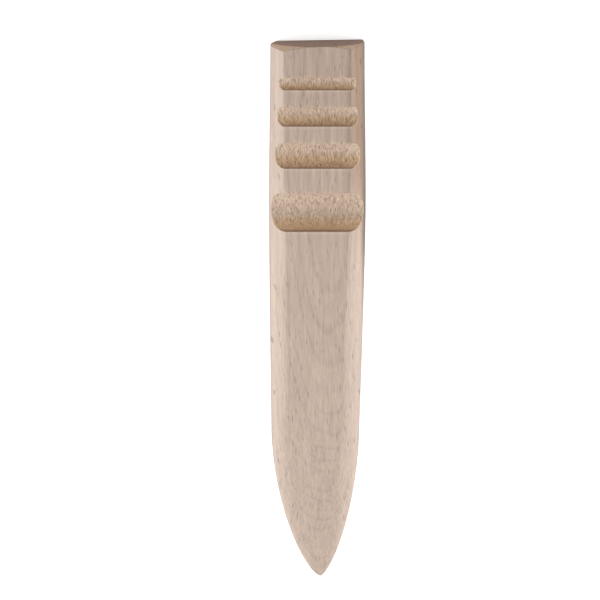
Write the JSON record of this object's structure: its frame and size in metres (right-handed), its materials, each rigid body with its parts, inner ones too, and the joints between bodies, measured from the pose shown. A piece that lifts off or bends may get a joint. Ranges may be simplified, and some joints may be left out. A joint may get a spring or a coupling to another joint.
{
  "type": "wood edge slicker",
  "caption": "Flat beech burnishing stick for leather edges, with half-round grooves cut across one face near the square butt and a long nose tapering to a point.",
  "frame": {"origin": "centre of the bounding box at its base, on the flat back", "axes": "+Z out of the grooved front, +Y along the tool toward the square butt, so the tip is at -Y"},
  "size_m": [0.028, 0.16, 0.014],
  "materials": {
    "beech": "bare sanded beech, unoiled, with torn grain in the grooves"
  },
  "bodies": {
    "root": {"slicker_body": "beech"}
  },
  "joints": []
}
